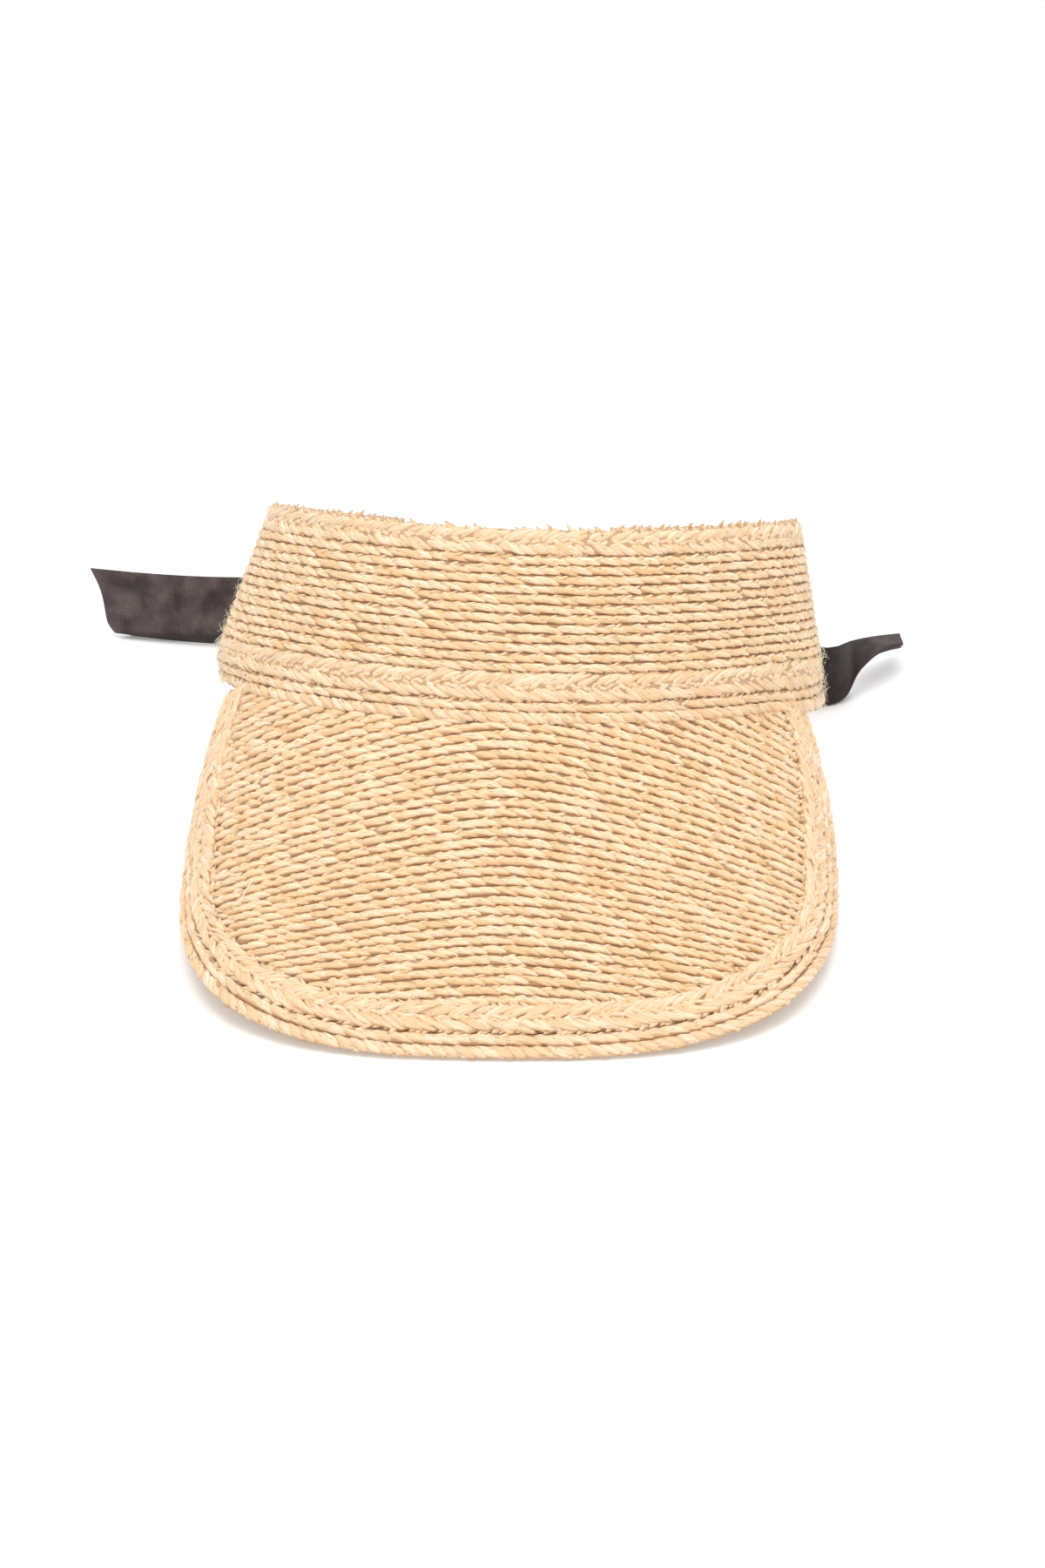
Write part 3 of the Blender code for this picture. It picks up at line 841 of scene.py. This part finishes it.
def build_rows():
    for number in range(ROW_COUNT):
        near = BORDER_FRONT + GAP + number * ROW_PITCH
        reach = row_reach(near + ROW_UNDER) + 0.0006
        strip = row_strip(near, -reach, reach)
        mesh = Mesh()
        add_plait(mesh, strip, depth=ROW_DIVE)
        add_whiskers(mesh, strip, 3)
        if number == LOOSE_FIBRE_ROW:
            x, along = np.array(LOOSE_FIBRE).T
            path = brim_raw(x, along, -0.0006) + BASE
            path[:, 2] += LOOSE_FIBRE_LIFT
            path = smooth_path(path, 8)
            taper = 1.0 - 0.75 * np.abs(np.linspace(-1, 1, len(path))) ** 3
            add_fibre(mesh, path, LOOSE_FIBRE_RADIUS * taper, 5, [0.0, 0.0, 1.0])
        finish_piece(mesh, f"brim_row_{number + 1:02d}", BRAID_STRAW)


def build_side_rows(side, node):
    start = BORDER_FRONT + GAP + ROW_COUNT * ROW_PITCH
    mesh = Mesh()
    for number in range(SIDE_ROWS):
        near = start + number * ROW_PITCH
        inner = seam_x(near, side) - SEAM_TUCK
        outer = row_reach(near + ROW_UNDER) + 0.0014
        if outer - inner < 0.002:
            break
        ends = sorted((side * inner, side * outer))
        add_plait(mesh, row_strip(near, *ends), depth=ROW_DIVE)
    finish_piece(mesh, node, BRAID_STRAW)


def build_border():
    parts = (("brim_border_braid", -0.02, BRAID_SHARE, "braid"),
             ("brim_border_rope", BRAID_SHARE, ROPE_SHARE, "plait"),
             ("brim_edge_rope", ROPE_SHARE, 1.0, "rope"))
    for node, inner, outer, kind in parts:
        strip = border_strip(inner, outer, (outer - inner) * BORDER_FRONT)
        mesh = Mesh()
        add_strand_work(mesh, strip, kind, braid_lift=0.0007)
        add_whiskers(mesh, strip, 26, reach=0.004)
        finish_piece(mesh, node, TRIM_STRAW)


# ------------------------------------------------------------------- ribbons

PATH_STEPS = 14                 # points between two stations of a ribbon's route


def smooth_path(points, steps):
    """A smooth curve through the points (Catmull-Rom), steps pieces per span."""
    points = np.asarray(points, float)
    ends = np.concatenate([points[:1], points, points[-1:]])
    t = np.linspace(0.0, 1.0, steps, endpoint=False).reshape(-1, 1)
    result = [0.5 * (2 * b + (c - a) * t + (2 * a - 5 * b + 4 * c - d) * t * t
                     + (3 * b - a - 3 * c + d) * t ** 3)
              for a, b, c, d in zip(ends, ends[1:], ends[2:], ends[3:])]
    return np.concatenate(result + [points[-1:]])


def sheet_faces(rows, columns):
    """Faces of a thin sheet: its face points, then its back points, row by row."""
    faces = []
    half = rows * columns
    for j in range(rows - 1):
        for k in range(columns - 1):
            a = j * columns + k
            faces.append((a, a + columns, a + columns + 1, a + 1))
            faces.append((half + a, half + a + 1, half + a + columns + 1, half + a + columns))
    for a in range(0, half - columns, columns):
        b = a + columns - 1
        faces.append((a, half + a, half + a + columns, a + columns))
        faces.append((b, b + columns, half + b + columns, half + b))
    last = half - columns
    for k in range(columns - 1):
        faces.append((k, k + 1, half + k + 1, half + k))
        faces.append((last + k, half + last + k, half + last + k + 1, last + k + 1))
    return faces


def sheet_normals(grid):
    normal = np.cross(np.gradient(grid, axis=0), np.gradient(grid, axis=1))
    return normal / np.linalg.norm(normal, axis=-1, keepdims=True)


def painted_shade_tone(place, painted_shade):
    """Painted shade along a ribbon: fading in before start, full from start to end, then turning to its
    tone past the end.
    """
    start, end, inside, past = painted_shade
    before = inside * smooth_step(place, start - 0.02, start)
    after = inside + (past - inside) * smooth_step(place, end, end + 0.014)
    return np.where(place < (start + end) / 2, before, after)


RIBBON_STEP = 0.0012            # between two rows of a ribbon's mesh
PLEAT_DEPTH = 0.0009
OVER_FLOOR = 0.00005


def ribbon_sheet(node, rails, crease=0.5, cut=0.0, wave=0.0004, pleats=None,
                 body="visor", columns=25, painted_shade=None,
                 corner=0.0, painted_crease_shade=0.0):
    """A ribbon through its three rails: lower edge, crease and upper edge.

    crease is the crease's share of the width, cut how much shorter the lower edge
    is, pleats where the length is gathered, in metres, and painted_shade the painted
    shade along a stretch: (from, to, tone there, tone past it). corner is how far
    the lower corner is rounded off, painted_crease_shade the painted shade below the crease."""
    steps = np.linalg.norm(np.diff(rails[:, 3:6], axis=0), axis=1)
    run = np.concatenate([[0.0], np.cumsum(steps)])
    rows = max(int(run[-1] / RIBBON_STEP), 20)
    v = np.linspace(0.0, 1.0, columns)
    u = np.linspace(0.0, 1.0, rows)
    slanted = cut * ((1 - v) + 0.10 * np.sin(2 * pi * (1 - v)))
    slanted += (corner * (1.0 - smooth_step(v, 0.12, 0.36))
                + corner * (1.0 - smooth_step(v, 0.0, 0.16)))
    place = u[:, None] * (run[-1] - slanted[None, :])
    at = np.stack([np.interp(place, run, rails[:, k]) for k in range(9)], -1)
    low, middle, high = at[..., :3], at[..., 3:6], at[..., 6:]
    below = np.clip(v / crease, 0.0, 1.0)[None, :, None]
    above = np.clip((v - crease) / (1 - crease), 0.0, 1.0)[None, :, None]
    grid = low + (middle - low) * below + (high - middle) * above
    ripple = wave * np.sin(u[:, None] * 11.0 + v[None, :] * 2.5)
    if pleats:
        near = np.exp(-((place - pleats[0]) / pleats[1]) ** 2)
        ripple = ripple + PLEAT_DEPTH * near * np.sin(v[None, :] * 6.5 * pi + 0.6)
    grid = grid + sheet_normals(grid) * ripple[..., None]
    edge = np.where((v < 0.03) | (v > 0.97), 0.8, 1.0)[None, :, None]
    offset = sheet_normals(grid) * RIBBON_THICK / 2 * edge
    points = np.concatenate([(grid + offset).reshape(-1, 3), (grid - offset).reshape(-1, 3)]) + BASE
    points[:, 2] = np.maximum(points[:, 2], OVER_FLOOR)
    fibre = stack(place, v[None, :] * RIBBON_WIDTH, 0.0).reshape(-1, 3)
    mesh = Mesh()
    # painted shade: darker along part of a tail and on the strip below its crease
    shade = painted_shade_tone(place, painted_shade) if painted_shade else np.zeros_like(place)
    shade = np.maximum(shade, painted_crease_shade * (1.0 - smooth_step(v, crease - 0.04, crease + 0.03)))
    fibre = np.concatenate([fibre, fibre + [0.0, 0.0, 0.004]])
    mesh.add(points, sheet_faces(rows, columns), fibre,
             np.tile(shade.reshape(-1), 2))
    piece = finish_piece(mesh, node, RIBBON, body)
    return piece


def upright(x, y, low=0.0003, crease=0.0042, high=0.0252, tuck=(0.0, 0.0), lean=0.0):
    """A station of a standing ribbon; tuck moves its lower edge behind the crease."""
    return (x + tuck[0], y + tuck[1], low, x, y, crease, x, y + lean, high)


TAIL_CREASE = 0.22              # the crease's share of a tail's width

LEFT_TAIL_ROUTE = [
    upright(-0.0120, 0.0955, 0.0060, 0.0090, 0.0190),
    upright(-0.0190, 0.0970, 0.0030, 0.0070, 0.0222),
    upright(-0.0300, 0.0990, 0.0008, 0.0048, 0.0249, (0.0, 0.0020)),
    upright(-0.0450, 0.1010, crease=0.0050, tuck=(0.0, 0.0016)),
    upright(-0.0750, 0.1010, crease=0.0052, high=0.0245, tuck=(0.0, 0.0014), lean=0.0036),
    upright(-0.1050, 0.1028, crease=0.0046, high=0.0246, tuck=(0.0, 0.0020), lean=0.0028),
    upright(-0.1300, 0.1080, 0.0004, 0.0032, 0.0247, (0.0, 0.0034), 0.0008),
    upright(-0.1470, 0.1128, 0.0008, 0.0016, 0.0244, (0.0, 0.0048)),
]

RIGHT_TAIL_ROUTE = [
    upright(-0.0080, 0.0955, 0.0060, 0.0090, 0.0190),
    upright(-0.0010, 0.0972, 0.0030, 0.0070, 0.0222),
    upright(0.0110, 0.0978, 0.0008, 0.0048, 0.0249, (0.0, 0.0020)),
    upright(0.0300, 0.0965, crease=0.0042, tuck=(0.0010, 0.0032)),
    upright(0.0620, 0.0830, crease=0.0042, tuck=(0.0022, 0.0028)),
    upright(0.0800, 0.0665, crease=0.0040, high=0.0244, tuck=(0.0024, 0.0026)),
    (0.0930, 0.0626, 0.0006, 0.0926, 0.0588, 0.0012, 0.0938, 0.0540, 0.0230),
    (0.0984, 0.0630, 0.0006, 0.0988, 0.0584, 0.0008, 0.0998, 0.0552, 0.0222),
    (0.1034, 0.0660, 0.0012, 0.1038, 0.0608, 0.0026, 0.1036, 0.0626, 0.0202),
    (0.1078, 0.0715, 0.0064, 0.1080, 0.0652, 0.0088, 0.1072, 0.0770, 0.0149),
    (0.1142, 0.0778, 0.0090, 0.1146, 0.0708, 0.0132, 0.1138, 0.0872, 0.0113),
    (0.1236, 0.0860, 0.0078, 0.1240, 0.0830, 0.0110, 0.1232, 0.0985, 0.0068),
]


def build_tail(node, route, cut, painted_shade=None, corner=0.0, painted_crease_shade=0.0):
    """A tail that grows out of the knot, its root there; it is not attached to a body."""
    rails = smooth_path(route, PATH_STEPS)
    piece = ribbon_sheet(node, rails, TAIL_CREASE, cut, pleats=(0.004, 0.011),
                         body=None, painted_shade=painted_shade, corner=corner, painted_crease_shade=painted_crease_shade)
    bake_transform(piece)


def build_tails():
    # painted shade on the strip below the left tail's crease
    build_tail("left_tail", LEFT_TAIL_ROUTE, 0.0092,
               corner=0.0022, painted_crease_shade=0.65)
    # painted shade on the right tail: dark on its standing part, lighter past the twist
    build_tail("right_tail", RIGHT_TAIL_ROUTE, 0.0015,
               painted_shade=(0.085, 0.132, 0.75, 0.20))


def rail_length(rails):
    """The length of a ribbon along its middle rail."""
    return float(np.linalg.norm(np.diff(rails[:, 3:6], axis=0), axis=1).sum())


def tie_route(end_angle, inward, knot_side):
    """From under the sweatband's end, past the band's end, into the knot."""
    stations = []
    for angle, inset in ((end_angle + inward * radians(9), SWEATBAND_INSET + 0.0011),
                         (end_angle + inward * radians(4), SWEATBAND_INSET + 0.0012),
                         (end_angle, TIE_INSET - 0.0012)):
        stations.append([band_raw(angle, SWEATBAND_LOW + RIBBON_WIDTH * share, inset)
                         for share in (0.0, 0.5, 1.0)])
    x = KNOT_CENTRE[0] + knot_side * (KNOT_HALF_WIDTH + KNOT_CLEARANCE)
    y = KNOT_CENTRE[1] - TIE_BEHIND
    outside = [np.array([x, y, TABLE + high]) for high in (0.0030, 0.0120, 0.0215)]
    inside = [np.array([KNOT_CENTRE[0] + knot_side * 0.002, KNOT_CENTRE[1] - 0.001, TABLE + high])
              for high in (0.0060, 0.0120, 0.0180)]
    between = [(a + b) / 2 + [0.0, TIE_BULGE, 0.0] for a, b in zip(stations[-1], outside)]
    return [np.concatenate(station) for station in stations + [between, outside, inside]]


def build_ties():
    for node, angle, inward, side in (("left_tie", END_LEFT, 1, -1), ("right_tie", END_RIGHT, -1, 1)):
        rails = smooth_path(tie_route(angle, inward, side), PATH_STEPS)
        length = rail_length(rails)
        ribbon_sheet(node, rails, wave=0.0002, pleats=(length - 0.004, 0.009))


def build_sweatband():
    start = END_LEFT + SWEATBAND_MARGIN
    theta = np.linspace(start, END_RIGHT - SWEATBAND_MARGIN, 160)
    rails = np.concatenate([band_raw(theta, SWEATBAND_LOW + RIBBON_WIDTH * share,
                                     SWEATBAND_INSET + 0.0004) for share in (0.0, 0.5, 1.0)], 1)
    ribbon_sheet("sweatband", rails, wave=0.00012, columns=9)


def build_knot():
    """The tied ribbon: a wrap round the middle and two gathered sides."""
    low, high = (np.array(corner) for corner in KNOT_BOX)
    centre = (low + high) / 2 - BASE
    half = (high - low) / 2
    mesh = Mesh()
    rings = 26
    sides = 40
    t = np.linspace(-1.0, 1.0, rings).reshape(-1, 1)
    angle = (2 * pi * np.arange(sides) / sides).reshape(1, -1)
    fold = 1.0 + 0.05 * np.sin(angle * 5 + t * 2.2) + 0.035 * np.sin(angle * 9 - t * 4)
    wrap = 0.12 * np.exp(-((t - 0.55 * np.sin(angle)) / 0.36) ** 2)
    body = (1.0 - np.abs(t) ** 3.2) ** 0.42 * 0.86
    radius = np.clip(body, 0.10, 1.0) * fold + wrap * (np.abs(t) < 0.98)
    radius = np.minimum(radius, 0.99)
    points = stack(centre[0] + half[0] * radius * np.cos(angle),
                   centre[1] + half[1] * radius * np.sin(angle),
                   centre[2] + half[2] * 0.97 * t + 0 * angle) + BASE
    fibre = stack(angle * 0.007 + 0 * t, t * 0.0125 + 0 * angle, 0.0 * (t + angle))
    mesh.add(points, tube_faces(rings, sides), fibre, np.zeros(rings * sides))
    finish_piece(mesh, "tie_knot", RIBBON)


# ------------------------------------------------------- the floor and light

def make_studio():
    floor_mesh = bpy.data.meshes.new("floor")
    floor_mesh.from_pydata([(-20, -20, 0), (20, -20, 0), (20, 20, 0), (-20, 20, 0)], [], [(0, 1, 2, 3)])
    floor = bpy.data.objects.new("floor", floor_mesh)
    material, _, shader = nodes_of("floor")
    shader.inputs["Base Color"].default_value = (0.93, 0.93, 0.93, 1)
    shader.inputs["Roughness"].default_value = 0.9
    shader.inputs["Specular IOR Level"].default_value = 0.1
    shader.inputs["Emission Color"].default_value = (1.0, 1.0, 1.0, 1)
    shader.inputs["Emission Strength"].default_value = 0.14
    floor_mesh.materials.append(material)
    bpy.context.scene.collection.objects.link(floor)
    world = bpy.data.worlds.new("studio")
    world.use_nodes = True
    background = world.node_tree.nodes["Background"]
    background.inputs["Color"].default_value = (1, 1, 1, 1)
    background.inputs["Strength"].default_value = 0.80
    bpy.context.scene.world = world
    for name, place, size, power in (("softbox_top", (0.04, -0.25, 1.5), 1.2, 14.0),
                                     ("softbox_front", (0.0, -1.6, 1.0), 1.0, 2.0)):
        light = bpy.data.lights.new(name, "AREA")
        light.size = size
        light.energy = power
        lamp = bpy.data.objects.new(name, light)
        lamp.location = place
        aim = Vector((0.0, -0.02, 0.04)) - Vector(place)
        lamp.rotation_euler = aim.to_track_quat("-Z", "Y").to_euler()
        bpy.context.scene.collection.objects.link(lamp)
    bpy.context.scene.view_settings.view_transform = "Standard"


build_band()
build_rows()
build_side_rows(-1, "brim_side_rows_left")
build_side_rows(1, "brim_side_rows_right")
build_border()
build_sweatband()
build_ties()
build_knot()
build_tails()
make_studio()
